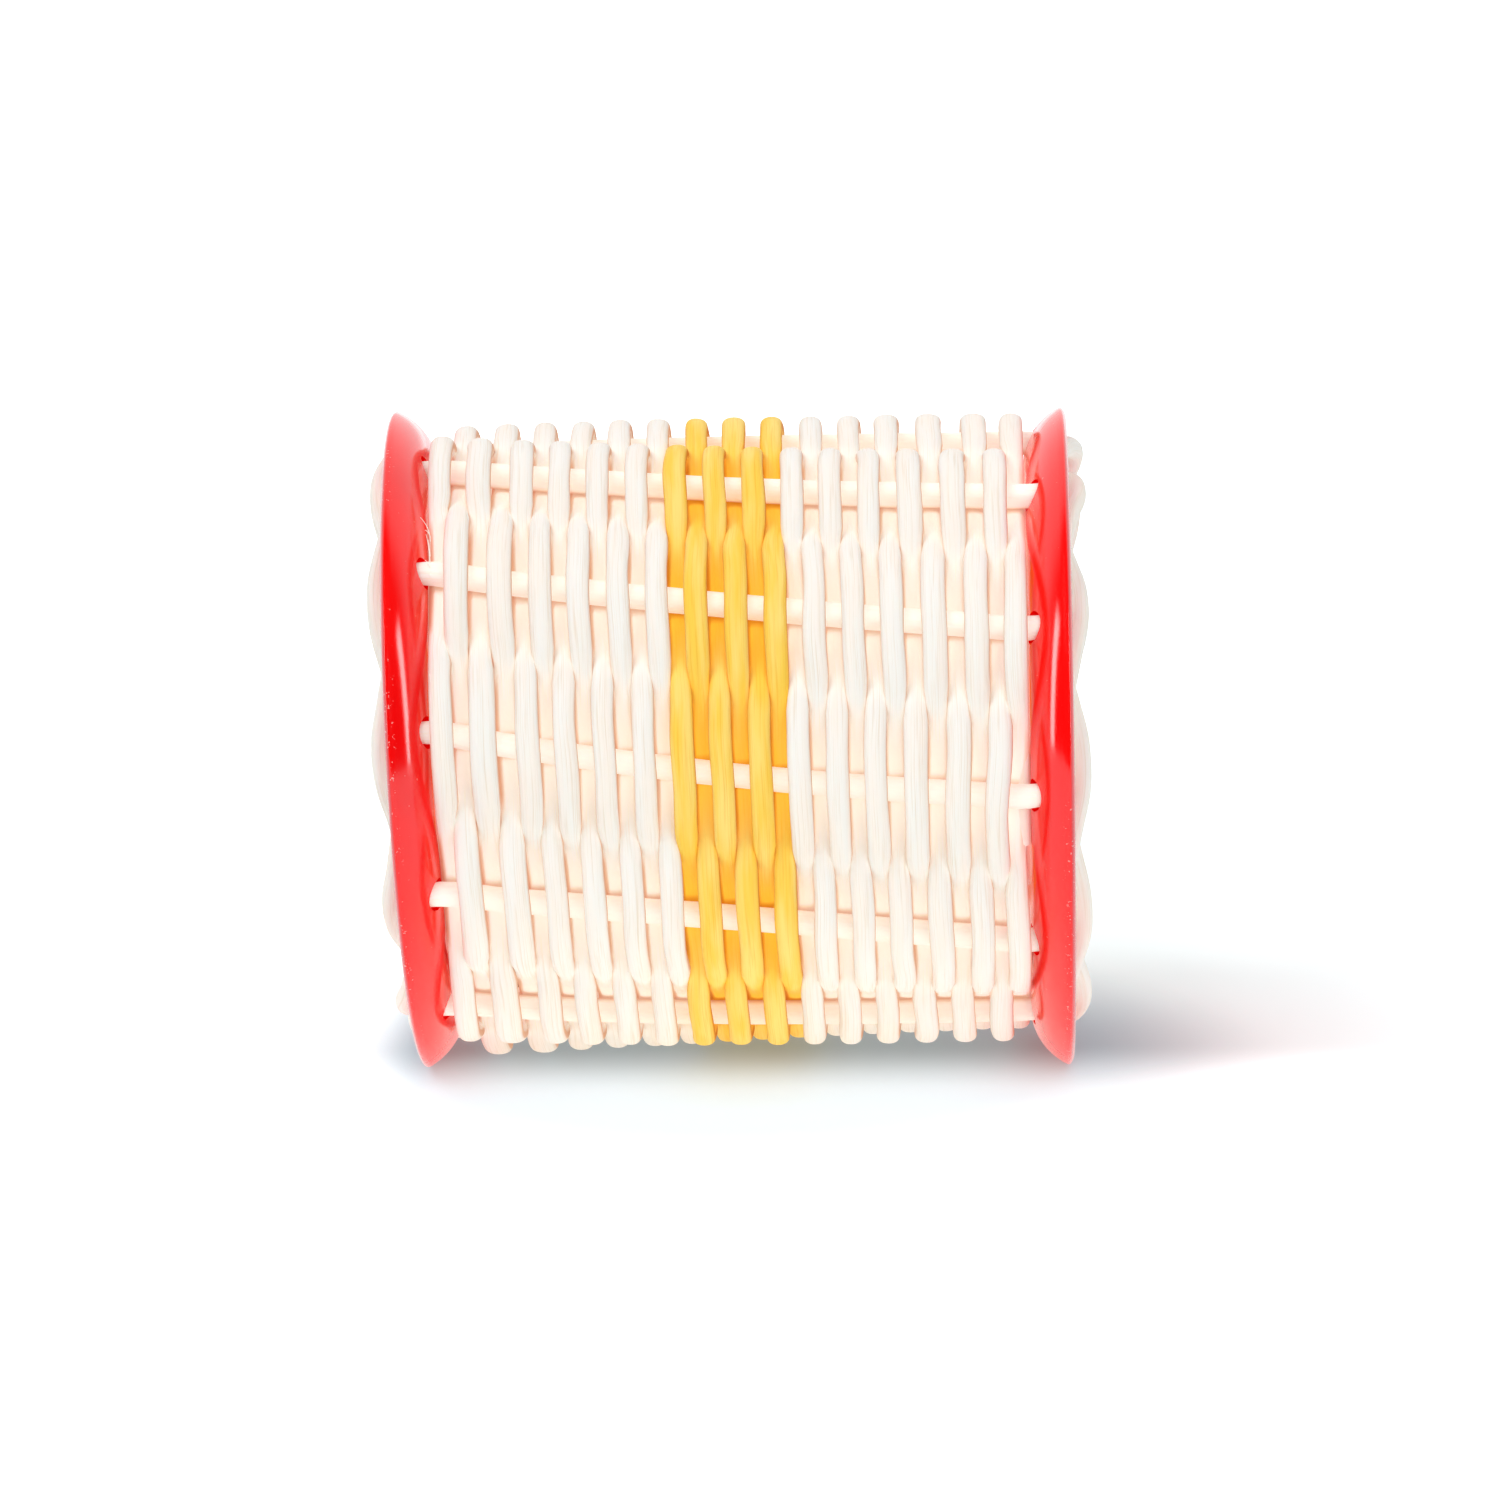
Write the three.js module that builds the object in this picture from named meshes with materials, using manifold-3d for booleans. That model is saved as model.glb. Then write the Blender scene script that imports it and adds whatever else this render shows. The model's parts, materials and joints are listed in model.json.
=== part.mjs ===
// A ganza: a hand shaker whose rattan wall is woven between two red plastic caps, with loose seeds inside.
// It lies on its side along X and stands on the rims of its caps. Millimetres, +Z up.
import * as THREE from 'three';
import { mergeVertices } from 'three/addons/utils/BufferGeometryUtils.js';
import Module from 'manifold-3d';

const wasm = await Module();
wasm.setup();

// Driving dimensions
const clearance = 0.3; // between neighbouring pieces

// Caps: shallow dishes, hollow side outwards
const capDiameter = 90;
const capDepth = 5.9;
const capWall = 1.6;
const capRimBand = 0.9; // straight land at the rim, on which the ganza stands
const shoulderRadius = 9;
const capSides = 32;
const shoulderSteps = 4;
const leftLean = 2.5; // degrees that a cap's top leans to the left
const rightLean = 0.5;

// Stakes: rattan rods that run through both caps and are woven into a border outside each
const bodyLength = 79; // between the faces of the caps
const stakeCount = 11;
const stakeDiameter = 3;
const stakeInset = 5.4; // from a cap's edge to a stake's centre
const stakeHolePlay = 0.65; // all round a stake, in its hole
const stakeSides = 5;
const holeSides = 10;
const firstStakeAngle = 100.6; // degrees above the horizontal on the front, half way along
const leftTwist = 10; // degrees that the stakes have turned at each cap, from half way along
const rightTwist = -4;
const borderTailTurn = 2; // stake spacings that a stake's end runs on round its cap

// Weavers: thinner rattan that winds round in and out of the stakes
const weaverDiameter = 2.2;
const yellowTurns = 6; // in the middle, with natural rattan on both sides
const naturalWeavers = 2; // lengths of rattan on each side of the yellow
const weaverStartStake = 9; // stake on the back, inside which the lengths start and meet
const weaverLastShort = 2.3; // stake spacings of the last turn that are missing: it ends underneath
const weaverSteps = 3; // from one stake to the next
const weaverSides = 5;
const weaverBow = 0.1; // that a weaver's straight steps cut inside its curve

// Seeds: loose inside, one to a lane, as many as there is room for
const seedDiameter = 4.4;
const seedLength = 4.6;
const seedEndMargin = 2; // from the caps' faces to the outer lanes
const seedSides = 8;
const seedRings = 4;

// Sizes that follow
const capRadius = capDiameter / 2;
const stakeRadius = stakeDiameter / 2;
const stakeCircle = capRadius - stakeInset;
const stakeSpacing = (2 * Math.PI) / stakeCount;
const stakeHoleRadius = stakeRadius + stakeHolePlay;
const shoulderTurn = Math.acos(1 - (capDepth - capRimBand) / shoulderRadius);
const capFlatRadius = capRadius - shoulderRadius * Math.sin(shoulderTurn);
const dishRadius = shoulderRadius - capWall;
const weaveDepth = stakeRadius + weaverDiameter / 2 + clearance + weaverBow;
const weaverReach = bodyLength - 2 * clearance - weaverDiameter;
const weaverRows = Math.floor(weaverReach / (weaverDiameter + clearance));
const weaverTurns = weaverRows - weaverLastShort / stakeCount;
const weaverPitch = weaverReach / weaverTurns;
const weaveInside = stakeCircle - weaveDepth - weaverDiameter / 2;
const seedRows = Math.ceil((seedLength + clearance) / weaverPitch); // from lane to lane
const seedLane = seedRows * weaverPitch;
const seedReach = bodyLength - 2 * seedEndMargin - seedLength - seedLane; // a lane's width to shift them in
const seedCount = Math.floor(seedReach / seedLane) + 1;

const material = (color, roughness) => new THREE.MeshStandardMaterial({ color, roughness, metalness: 0 });
const redPlastic = material(0xe80a0a, 0.2);
const naturalRattan = material(0xf3e6d2, 0.6);
const yellowRattan = material(0xf7bd3c, 0.6);
const driedSeed = material(0x6b4023, 0.5);

function named(name, geometry, finish) {
  const mesh = new THREE.Mesh(geometry, finish);
  mesh.name = name;
  return mesh;
}

// A leaning cap stands on the lower edge of its rim, which sets the height of the ganza's axis there.
const leftLeanTurn = THREE.MathUtils.degToRad(leftLean);
const rightLeanTurn = THREE.MathUtils.degToRad(rightLean);
const leftHeight = capRadius * Math.cos(leftLeanTurn) + capDepth * Math.sin(leftLeanTurn);
const rightHeight = capRadius * Math.cos(rightLeanTurn) - (capDepth - capRimBand) * Math.sin(rightLeanTurn);

function axisAt(axial) {
  return new THREE.Vector3(
    axial - bodyLength / 2,
    0,
    THREE.MathUtils.lerp(leftHeight, rightHeight, axial / bodyLength),
  );
}

// Cross-sections lean with the caps: the lean goes over evenly from the left cap to the right one.
// axial is measured from the left cap's face, angle upwards from the horizontal on the front.
function place(axial, angle, radius) {
  const within = THREE.MathUtils.clamp(axial, 0, bodyLength);
  const lean = THREE.MathUtils.lerp(leftLeanTurn, rightLeanTurn, within / bodyLength);
  const point = new THREE.Vector3(axial - within, -radius * Math.cos(angle), radius * Math.sin(angle));
  return point.applyAxisAngle(new THREE.Vector3(0, 1, 0), -lean).add(axisAt(within));
}

// Angle of the first stake at a place along the body: a curve through the three measured turns
function stakeAngle(axial) {
  const share = THREE.MathUtils.clamp(axial / bodyLength, 0, 1);
  const turn = leftTwist * (1 - share) * (1 - 2 * share) + rightTwist * share * (2 * share - 1);
  return THREE.MathUtils.degToRad(firstStakeAngle + turn);
}

// Rods: a round section swept along a path, with a step at each of the path's own even parameters
class RodPath extends THREE.Curve {
  constructor(pointAt) {
    super();
    this.pointAt = pointAt;
  }
  getPoint(t) {
    return this.pointAt(t);
  }
  getUtoTmapping(u) {
    return u;
  }
}

function rod(pointAt, diameter, steps, sides) {
  const section = new THREE.Shape();
  for (let side = 0; side < sides; side++) {
    const turn = (2 * Math.PI * side) / sides;
    const corner = [(diameter / 2) * Math.cos(turn), (diameter / 2) * Math.sin(turn)];
    if (side === 0) section.moveTo(...corner);
    else section.lineTo(...corner);
  }
  section.closePath();
  const extrudePath = new RodPath(pointAt);
  return new THREE.ExtrudeGeometry(section, { steps, extrudePath, bevelEnabled: false });
}

// Booleans
function toSolid(geometry) {
  const bare = geometry.clone();
  bare.deleteAttribute('normal');
  bare.deleteAttribute('uv');
  const merged = mergeVertices(bare, 1e-4);
  const vertProperties = new Float32Array(merged.attributes.position.array);
  const triVerts = new Uint32Array(merged.index.array);
  return new wasm.Manifold(new wasm.Mesh({ numProp: 3, vertProperties, triVerts }));
}

function fromSolid(solid) {
  const mesh = solid.getMesh();
  const geometry = new THREE.BufferGeometry();
  geometry.setAttribute('position', new THREE.BufferAttribute(mesh.vertProperties, 3));
  geometry.setIndex(new THREE.BufferAttribute(mesh.triVerts, 1));
  geometry.computeVertexNormals();
  return geometry;
}

// Cap: a dish turned about the ganza's axis, with a hole for each stake
function shoulderArc(radius, turn) {
  return new THREE.Vector2(capFlatRadius + radius * Math.sin(turn), shoulderRadius - radius * Math.cos(turn));
}

function capProfile() {
  const turns = Array.from({ length: shoulderSteps + 1 }, (_, step) => (shoulderTurn * step) / shoulderSteps);
  const outside = turns.map((turn) => shoulderArc(shoulderRadius, turn));
  const inside = turns.map((turn) => shoulderArc(dishRadius, turn)).reverse();
  const lipInside = new THREE.Vector2(inside[0].x, capDepth);
  const belowLip = inside.filter((point) => point.y < capDepth - clearance);
  return [
    new THREE.Vector2(0, 0),
    ...outside,
    new THREE.Vector2(capRadius, capDepth),
    lipInside,
    ...belowLip,
    new THREE.Vector2(0, capWall),
  ];
}

function capGeometry(outwards, firstHole) {
  const acrossFlats = 1 / Math.cos(Math.PI / capSides);
  const profile = capProfile().map((point) => new THREE.Vector2(point.x * acrossFlats, point.y));
  const dish = new THREE.LatheGeometry(profile, capSides, Math.PI / capSides);
  dish.rotateZ((-outwards * Math.PI) / 2);
  const drillLength = 4 * capDepth;
  let solid = toSolid(dish);
  for (let stake = 0; stake < stakeCount; stake++) {
    const angle = firstHole - stake * stakeSpacing;
    const drill = new THREE.CylinderGeometry(stakeHoleRadius, stakeHoleRadius, drillLength, holeSides);
    drill.rotateZ(Math.PI / 2);
    drill.translate(0, -stakeCircle * Math.cos(angle), stakeCircle * Math.sin(angle));
    solid = solid.subtract(toSolid(drill));
  }
  return fromSolid(solid);
}

function cap(name, outwards, axial, lean) {
  const leaning = new THREE.Group();
  leaning.position.copy(axisAt(axial));
  leaning.rotation.y = -lean;
  leaning.add(named(name, capGeometry(outwards, stakeAngle(axial)), redPlastic));
  return leaning;
}

// Border: outside its cap a stake bends over, runs on round the dish over the start of the next stake,
// and tucks in behind it. Each point is a turn in stake spacings, then how far in and out in stake diameters.
const borderRoute = [
  { turn: 0.5, inwards: 0, outwards: 0.1 },
  { turn: 0.8, inwards: 0.05, outwards: 0.5 },
  { turn: 1.05, inwards: 0.4, outwards: 0.95 },
  { turn: 1.3, inwards: 0.8, outwards: 0.9 },
  { turn: 1.55, inwards: 1.3, outwards: 0.45 },
  { turn: 1.8, inwards: 1.55, outwards: 0.1 },
  { turn: borderTailTurn, inwards: 1.6, outwards: 0 },
];

// The border's first layer lies in the corner of the dish
const borderSeat = dishRadius - stakeRadius - clearance;
const borderFloor = shoulderRadius - Math.sqrt(borderSeat ** 2 - (stakeCircle - capFlatRadius) ** 2);

function borderPoints(stake, outwards, axial) {
  const start = stakeAngle(axial) - stake * stakeSpacing;
  const at = (angle, inwards, depth) =>
    place(axial + outwards * depth, start + outwards * angle, stakeCircle - inwards);
  const bend = stakeDiameter;
  const half = bend * Math.SQRT1_2;
  return [
    at(0, 0, borderFloor - bend),
    at((bend - half) / stakeCircle, 0, borderFloor - bend + half),
    at(bend / stakeCircle, 0, borderFloor),
    ...borderRoute.map((point) =>
      at(
        point.turn * stakeSpacing,
        point.inwards * stakeDiameter,
        borderFloor + point.outwards * stakeDiameter,
      ),
    ),
  ];
}

function stakeGeometry(stake) {
  const bodySpans = 4;
  const body = Array.from({ length: bodySpans - 1 }, (_, span) => {
    const axial = (bodyLength * (span + 1)) / bodySpans;
    return place(axial, stakeAngle(axial) - stake * stakeSpacing, stakeCircle);
  });
  const points = [
    ...borderPoints(stake, -1, 0).reverse(),
    ...body,
    ...borderPoints(stake, 1, bodyLength),
  ];
  const curve = new THREE.CatmullRomCurve3(points);
  return rod((t) => curve.getPoint(t), stakeDiameter, points.length - 1, stakeSides);
}

// Weaver: winds down the front and up the back, outside one stake and inside the next. With an odd number
// of stakes it comes round on the other side of each stake, so the rows alternate.
function weaverAt(turn) {
  const phase = weaverStartStake * stakeSpacing + 2 * Math.PI * turn;
  const axial = clearance + weaverDiameter / 2 + weaverPitch * turn;
  const radius = stakeCircle + weaveDepth * Math.cos((stakeCount / 2) * phase);
  return { axial, angle: stakeAngle(axial) - phase, radius };
}

function weaverGeometry(fromTurn, toTurn) {
  const endGap = clearance / (2 * Math.PI * stakeCircle);
  const pointAt = (t) => {
    const { axial, angle, radius } = weaverAt(THREE.MathUtils.lerp(fromTurn + endGap, toTurn - endGap, t));
    return place(axial, angle, radius);
  };
  const steps = Math.round((toTurn - fromTurn) * stakeCount * weaverSteps);
  return rod(pointAt, weaverDiameter, steps, weaverSides);
}

function weavers() {
  const naturalTurns = (weaverRows - yellowTurns) / 2;
  const lengthTurns = naturalTurns / naturalWeavers;
  const yellowEnd = naturalTurns + yellowTurns;
  const group = new THREE.Group();
  for (let length = 0; length < naturalWeavers; length++) {
    const leftStart = length * lengthTurns;
    const rightStart = yellowEnd + leftStart;
    const left = weaverGeometry(leftStart, leftStart + lengthTurns);
    const right = weaverGeometry(rightStart, Math.min(rightStart + lengthTurns, weaverTurns));
    group.add(named(`left_weaver_${length + 1}`, left, naturalRattan));
    group.add(named(`right_weaver_${length + 1}`, right, naturalRattan));
  }
  group.add(named('yellow_weaver', weaverGeometry(naturalTurns, yellowEnd), yellowRattan));
  return group;
}

// Seed: an oval that lies against the inside of the weave
function seedGeometry() {
  const profile = Array.from({ length: seedRings + 1 }, (_, ring) => {
    const turn = (Math.PI * ring) / seedRings;
    const radius = ring % seedRings === 0 ? 0 : (seedDiameter / 2) * Math.sin(turn);
    return new THREE.Vector2(radius, (-seedLength / 2) * Math.cos(turn));
  });
  const seed = new THREE.LatheGeometry(profile, seedSides);
  seed.rotateZ(Math.PI / 2);
  return seed;
}

// The lowest place on a row where the weaver passes inside a stake
function lowestCrest(row) {
  const crests = Array.from({ length: stakeCount }, (_, stake) => weaverAt(row + stake / stakeCount));
  const inside = crests.filter((crest) => crest.radius < stakeCircle);
  return inside.reduce((low, crest) => (Math.sin(crest.angle) < Math.sin(low.angle) ? crest : low));
}

function crestHeight(row) {
  const { angle, radius } = lowestCrest(row);
  return radius * Math.sin(angle);
}

// The lanes start at whichever of the two middle choices lies lower on the weave
function seeds() {
  const group = new THREE.Group();
  const spareRows = Math.floor(weaverTurns) - 1 - (seedCount - 1) * seedRows;
  const middleRows = [Math.floor(spareRows / 2), Math.floor(spareRows / 2) + 1];
  const [firstRow] = middleRows.sort((one, other) => crestHeight(one) - crestHeight(other));
  for (let lane = 0; lane < seedCount; lane++) {
    const { axial, angle } = lowestCrest(firstRow + lane * seedRows);
    const seed = named(`seed_${String(lane + 1).padStart(2, '0')}`, seedGeometry(), driedSeed);
    seed.position.copy(place(axial, angle, weaveInside - clearance - seedDiameter / 2));
    group.add(seed);
  }
  return group;
}

// Assembly
const ganza = new THREE.Group();
ganza.add(cap('left_cap', -1, 0, leftLeanTurn));
ganza.add(cap('right_cap', 1, bodyLength, rightLeanTurn));
for (let stake = 0; stake < stakeCount; stake++) {
  const name = `stake_${String(stake + 1).padStart(2, '0')}`;
  ganza.add(named(name, stakeGeometry(stake), naturalRattan));
}
ganza.add(weavers());
ganza.add(seeds());

// The origin is on the floor, below the middle of the ganza
ganza.updateMatrixWorld(true);
const middle = new THREE.Box3().setFromObject(ganza, true).getCenter(new THREE.Vector3());
ganza.position.set(-middle.x, -middle.y, 0);

export default ganza;
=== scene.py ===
# Ganza: a rattan shaker woven between two red caps, dressed on its CAD frame. Metres, +Z up.
import json
import math
import random

import bmesh
import bpy
from mathutils import Matrix, Vector, geometry, noise


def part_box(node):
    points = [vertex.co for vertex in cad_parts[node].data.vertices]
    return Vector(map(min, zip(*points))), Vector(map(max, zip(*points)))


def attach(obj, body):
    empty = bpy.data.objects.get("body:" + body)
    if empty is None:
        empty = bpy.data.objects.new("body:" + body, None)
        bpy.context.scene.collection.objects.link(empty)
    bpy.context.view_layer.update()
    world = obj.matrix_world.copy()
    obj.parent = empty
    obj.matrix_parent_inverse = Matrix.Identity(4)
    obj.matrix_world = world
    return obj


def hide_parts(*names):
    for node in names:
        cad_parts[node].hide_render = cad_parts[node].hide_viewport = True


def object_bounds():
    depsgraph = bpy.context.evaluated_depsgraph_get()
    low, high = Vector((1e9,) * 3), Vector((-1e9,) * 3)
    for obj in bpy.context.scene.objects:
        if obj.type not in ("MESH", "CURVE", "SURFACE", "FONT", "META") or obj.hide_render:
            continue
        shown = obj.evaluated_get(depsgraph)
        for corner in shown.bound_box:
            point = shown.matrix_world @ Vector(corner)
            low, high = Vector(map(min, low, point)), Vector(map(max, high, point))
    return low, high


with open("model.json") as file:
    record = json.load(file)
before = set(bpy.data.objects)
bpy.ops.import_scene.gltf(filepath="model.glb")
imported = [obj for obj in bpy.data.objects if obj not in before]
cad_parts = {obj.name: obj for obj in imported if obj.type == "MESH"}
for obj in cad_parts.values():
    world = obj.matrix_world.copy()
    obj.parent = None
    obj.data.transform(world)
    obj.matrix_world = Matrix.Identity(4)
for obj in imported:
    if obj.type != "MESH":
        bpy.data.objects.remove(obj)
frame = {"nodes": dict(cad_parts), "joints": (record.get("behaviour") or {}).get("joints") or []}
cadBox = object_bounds()
mm = 0.001
print("frame loaded:", len(frame["nodes"]), "nodes")

# Sizes that all the pieces share
ganza = {
    "capRadius": 45 * mm,
    "capDepth": 5.9 * mm,
    "capWall": 1.6 * mm,
    "rimBand": 0.9 * mm,
    "shoulderRadius": 9 * mm,
    "leftLean": math.radians(2.5),
    "rightLean": math.radians(0.5),
    "bodyLength": 79 * mm,
    "clearance": 0.3 * mm,
    "stakeCount": 11,
    "stakeDiameter": 3 * mm,
    "stakePlump": 3.25 * mm,  # between the caps, where the weave presses on a stake
    "stakeInset": 5.4 * mm,
    "firstStakeAngle": 100.6,  # degrees, half way along
    "leftTwist": 10,  # degrees by which the stakes turn towards either cap
    "rightTwist": -4,
    "stakeBow": {2: 1.7, 3: 0.9, 4: 3.3},  # degrees by which these stakes bow up the front
    "leftRise": -0.5 * mm,  # how far above the middle of either cap the ring of stakes lies
    "rightRise": 0.6 * mm,
    "leftFlat": 0.1 * mm,  # how far the stakes are drawn in underneath, at either cap
    "rightFlat": 1.1 * mm,
    "flatSpan": (0.3, 1),  # sines of the angle underneath at which that starts and is full
}
axisMiddle = Vector(frame["joints"][0]["pos_m"])
bodyLength = ganza["bodyLength"]
stakeCount = ganza["stakeCount"]
stakeRadius = ganza["stakeDiameter"] / 2
stakeCircle = ganza["capRadius"] - ganza["stakeInset"]
stakeSpacing = 2 * math.pi / stakeCount
shoulderTurn = math.acos(1 - (ganza["capDepth"] - ganza["rimBand"]) / ganza["shoulderRadius"])
capFlatRadius = ganza["capRadius"] - ganza["shoulderRadius"] * math.sin(shoulderTurn)
dishRadius = ganza["shoulderRadius"] - ganza["capWall"]
leftHeight = (
    ganza["capRadius"] * math.cos(ganza["leftLean"])
    + ganza["capDepth"] * math.sin(ganza["leftLean"])
)
rightHeight = (
    ganza["capRadius"] * math.cos(ganza["rightLean"])
    - (ganza["capDepth"] - ganza["rimBand"]) * math.sin(ganza["rightLean"])
)


def lerp(start, end, share):
    return start + (end - start) * share


def clamp(value, low=0.0, high=1.0):
    return max(low, min(high, value))


def smoothStep(low, high, value):
    share = clamp((value - low) / (high - low))
    return share * share * (3 - 2 * share)


# Places on the ganza: axial from the left cap's face, angle up from the horizontal on the front
def axisAt(axial):
    share = axial / bodyLength
    return Vector((axisMiddle.x + axial - bodyLength / 2, 0, lerp(leftHeight, rightHeight, share)))


def leanAt(axial):
    return lerp(ganza["leftLean"], ganza["rightLean"], clamp(axial / bodyLength))


def riseAt(axial):
    return lerp(ganza["leftRise"], ganza["rightRise"], clamp(axial / bodyLength))


def flatAt(axial, angle):
    drawn = lerp(ganza["leftFlat"], ganza["rightFlat"], clamp(axial / bodyLength))
    return drawn * smoothStep(*ganza["flatSpan"], -math.sin(angle))


def spotAt(axial, angle, radius):
    reach = radius - flatAt(axial, angle)
    return Vector((0, -reach * math.cos(angle), reach * math.sin(angle) + riseAt(axial)))


def place(axial, angle, radius):
    within = clamp(axial, 0, bodyLength)
    point = spotAt(within, angle, radius) + Vector((axial - within, 0, 0))
    return Matrix.Rotation(-leanAt(within), 3, "Y") @ point + axisAt(within)


def outwardAt(point):
    middle = axisAt(point.x - axisMiddle.x + bodyLength / 2)
    return Vector((0, point.y, point.z - middle.z)).normalized()


def stakeAngle(axial, stake):
    share = clamp(axial / bodyLength)
    turn = ganza["leftTwist"] * (1 - share) * (1 - 2 * share)
    turn += ganza["rightTwist"] * share * (2 * share - 1)
    for bowed, bow in ganza["stakeBow"].items():
        gap = abs((stake - bowed + stakeCount / 2) % stakeCount - stakeCount / 2)
        turn += bow * math.sin(math.pi * share) * math.cos(math.pi / 2 * min(gap, 1)) ** 2
    return math.radians(ganza["firstStakeAngle"] + turn) - stake * stakeSpacing


# Shader sums: a socket that takes + - and * with sockets or numbers
class Amount:
    def __init__(self, finish, socket):
        self.finish = finish
        self.socket = socket

    def math(self, operation, first, second):
        return self.finish.node("ShaderNodeMath", {"operation": operation}, {0: first, 1: second})

    def __add__(self, other):
        return self.math("ADD", self, other)

    __radd__ = __add__

    def __sub__(self, other):
        return self.math("SUBTRACT", self, other)

    def __rsub__(self, other):
        return self.math("SUBTRACT", other, self)

    def __mul__(self, other):
        return self.math("MULTIPLY", self, other)

    __rmul__ = __mul__

    def ramp(self, low, high):
        settings = {"interpolation_type": "SMOOTHSTEP"}
        inputs = {"Value": self, "From Min": low, "From Max": high}
        return self.finish.node("ShaderNodeMapRange", settings, inputs)


class Nodes:
    def __init__(self, tree):
        self.tree = tree

    def node(self, kind, settings, inputs, output=0):
        made = self.tree.nodes.new(kind)
        for key, value in settings.items():
            setattr(made, key, value)
        for key, value in inputs.items():
            self.join(value, made.inputs[key])
        return Amount(self, made.outputs[output])

    def join(self, value, socket):
        if isinstance(value, Amount):
            self.tree.links.new(value.socket, socket)
        else:
            socket.default_value = value

    def coordinates(self, kind):
        return self.node("ShaderNodeTexCoord", {}, {}, kind)

    def axis(self, vector, letter):
        return self.node("ShaderNodeSeparateXYZ", {}, {0: vector}, letter)

    def attribute(self, name, output="Fac"):
        return self.node("ShaderNodeAttribute", {"attribute_name": name}, {}, output)

    def ray(self, kind):
        return self.node("ShaderNodeLightPath", {}, {}, "Is " + kind + " Ray")

    def blend(self, share, first, second):
        return self.node("ShaderNodeMix", {"data_type": "RGBA"}, {0: share, 6: first, 7: second}, 2)

    def noise(self, vector, scale, detail=2.0, roughness=0.5):
        inputs = {"Vector": vector, "Scale": scale, "Detail": detail, "Roughness": roughness}
        return self.node("ShaderNodeTexNoise", {}, inputs)

    def stretch(self, vector, scale):
        return self.node("ShaderNodeMapping", {}, {"Vector": vector, "Scale": scale})

    def bump(self, height, distance, strength):
        inputs = {"Height": height, "Distance": distance, "Strength": strength}
        return self.node("ShaderNodeBump", {}, inputs)


class Finish(Nodes):
    def __init__(self, name):
        self.material = bpy.data.materials.new(name)
        self.material.use_nodes = True
        super().__init__(self.material.node_tree)
        self.shader = self.tree.nodes["Principled BSDF"]

    def set(self, **sockets):
        for key, value in sockets.items():
            self.join(value, self.shader.inputs[key.replace("_", " ")])


def colour(red, green, blue):
    def linear(level):
        share = level / 255
        return share / 12.92 if share <= 0.04045 else ((share + 0.055) / 1.055) ** 2.4

    return (linear(red), linear(green), linear(blue), 1)


# Rattan: grain holds millimetres along a strand and the place on its round section
rattan = {
    "blotch": {"grain": (0.07, 0.8, 0.8), "detail": 2.0, "roughness": 0.5, "span": (0.35, 0.7)},
    "streak": {"grain": (0.09, 5.0, 5.0), "detail": 3.0, "roughness": 0.6, "span": (0.5, 0.75)},
    "hairline": {"grain": (0.05, 16.0, 16.0), "detail": 2.0, "roughness": 0.5, "span": (0.56, 0.72)},
    "fibreShare": 0.45,
    "recessShare": 0.75,  # how much of the painted recess tone, for bounce light and shade, a recess takes, and what a blotch adds
    "recessBlotch": 0.4,
    "creviceShadeShare": 0.75,
    "roughness": 0.5,
    "streakRoughness": 0.2,
    "loopLift": 0.18,  # share of the lift on the loops, where a recess has all of it
    "seamShade": 0.5,  # share of the lift that a seam loses
    "bumpHeight": 0.12 * mm,
    "bumpStrength": 0.6,
    "streakBump": 0.6,  # the hairlines give the rest
    "gloss": 0.12,
    "through": 0.08,  # light that passes through the skin
    "throughDepth": 1.2 * mm,
    "throughTones": (1.0, 0.6, 0.35),
    "natural": {
        "pale": colour(241, 237, 231),
        "warm": colour(245, 235, 225),
        # Painted light and shade: the recess tone stands for bounce light and shade in the recesses,
        # the seam tone for shade in the crevices
        "paintedRecessLight": colour(244, 242, 231),
        "seamAndPaintedShade": colour(222, 158, 108),
        "fibre": colour(222, 203, 178),
        "lift": 0.42,  # stands for the light that strands pass to each other
    },
    "yellow": {
        "pale": colour(250, 218, 122),
        "warm": colour(249, 204, 80),
        # Painted light and shade, as on the natural rattan
        "paintedRecessLight": colour(250, 202, 62),
        "seamAndPaintedShade": colour(206, 106, 4),
        "fibre": colour(235, 172, 48),
        "lift": 0.37,
    },
}


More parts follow.
